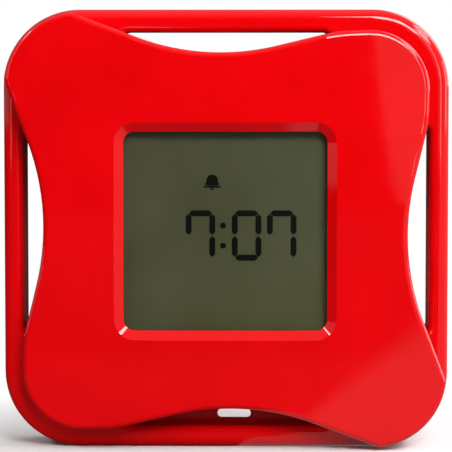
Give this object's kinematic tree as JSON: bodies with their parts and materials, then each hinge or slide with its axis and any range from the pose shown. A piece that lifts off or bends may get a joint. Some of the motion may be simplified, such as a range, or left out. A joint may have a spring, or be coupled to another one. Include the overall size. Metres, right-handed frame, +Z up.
{
  "type": "alarm clock",
  "caption": "Square red desk alarm clock with a lobed front cover, a sunken digital display and an open outer frame",
  "frame": {"origin": "Under the middle of the clock, on the surface it stands on", "axes": "X to the right seen from the front, Y to the back, Z up"},
  "size_m": [0.095, 0.029, 0.0936],
  "materials": {
    "red_case": null,
    "clear_pane": null,
    "display_panel": null,
    "milky_plastic": null,
    "white_plastic": null,
    "board_green": null,
    "black_resin": null,
    "black_plastic": null,
    "steel": null,
    "brass": null,
    "strip_rubber": null,
    "button_plastic": null,
    "battery_sleeve": null,
    "red_wire": null,
    "black_wire": null
  },
  "bodies": {
    "case": {"front_cover": "red_case", "outer_frame": "red_case", "rear_cover": "red_case", "window_lens": "clear_pane", "display_glass": "display_panel", "light_guide": "milky_plastic", "display_holder": "white_plastic", "circuit_board": "board_green", "chip_blob": "black_resin", "timing_crystal": "steel", "tilt_switches": "black_plastic", "backlight_leds": "milky_plastic", "contact_strips": "strip_rubber", "button_switches": "black_plastic", "slide_switch": "black_plastic", "buzzer_disc": "brass", "battery_upper": "battery_sleeve", "battery_lower": "battery_sleeve", "contact_spring_upper": "steel", "contact_spring_lower": "steel", "end_contact_upper": "steel", "end_contact_lower": "steel", "contact_bridge": "steel", "battery_wire_upper": "red_wire", "battery_wire_lower": "black_wire", "buzzer_wire_left": "black_wire", "buzzer_wire_right": "red_wire", "case_screws": "steel", "board_screws": "steel"},
    "battery_door": {"battery_door": "red_case"},
    "set_button": {"set_button": "button_plastic"},
    "up_button": {"up_button": "button_plastic"},
    "down_button": {"down_button": "button_plastic"},
    "alarm_switch_knob": {"alarm_switch_knob": "button_plastic"}
  },
  "joints": [
    {"name": "set_button_press", "type": "slide", "parent": "case", "child": "set_button", "axis": [0, -1, 0], "range_m": [0, 0.0005], "stiffness_N_per_m": 400, "springref_m": -0.0005},
    {"name": "up_button_press", "type": "slide", "parent": "case", "child": "up_button", "axis": [0, -1, 0], "range_m": [0, 0.0005], "stiffness_N_per_m": 400, "springref_m": -0.0005},
    {"name": "down_button_press", "type": "slide", "parent": "case", "child": "down_button", "axis": [0, -1, 0], "range_m": [0, 0.0005], "stiffness_N_per_m": 400, "springref_m": -0.0005},
    {"name": "alarm_switch_slide", "type": "slide", "parent": "case", "child": "alarm_switch_knob", "axis": [1, 0, 0], "range_m": [0, 0.002]},
    {"name": "battery_door_hinge", "type": "hinge", "parent": "case", "child": "battery_door", "pos_m": [0, 0.0122, 0.02145], "axis": [-1, 0, 0], "range_deg": [0, 75]}
  ]
}
